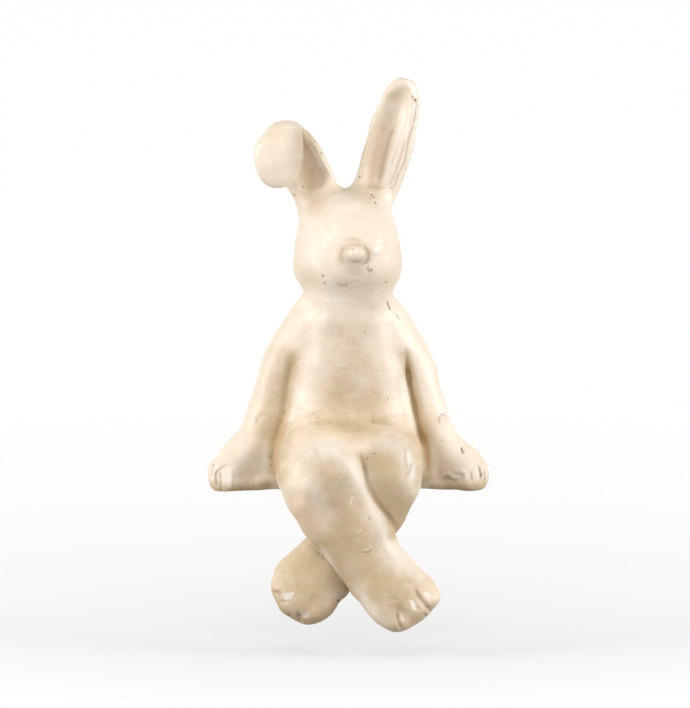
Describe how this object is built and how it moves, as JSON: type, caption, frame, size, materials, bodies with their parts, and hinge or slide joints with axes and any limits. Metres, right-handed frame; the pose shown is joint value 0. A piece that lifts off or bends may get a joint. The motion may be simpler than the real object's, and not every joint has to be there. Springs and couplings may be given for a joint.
{
  "type": "rabbit figurine",
  "caption": "Seated ceramic rabbit with crossed legs that hang over a shelf edge, paws flat at its sides, one ear upright and one folded over.",
  "frame": {"origin": "the middle of the flat seat, on top of the shelf; the shelf's front face is at Y -22 mm", "axes": "the rabbit faces -Y and its head and ears point to +Z; its right side is at -X"},
  "size_m": [0.1282, 0.0937, 0.2472],
  "materials": {
    "ceramic": "aged cream, satin, with brown patina rubbed into the creases"
  },
  "bodies": {
    "root": {"torso": "ceramic", "head": "ceramic", "nose": "ceramic", "upright_ear": "ceramic", "folded_ear": "ceramic", "right_arm": "ceramic", "left_arm": "ceramic", "front_leg": "ceramic", "rear_leg": "ceramic", "tail": "ceramic"}
  },
  "joints": []
}
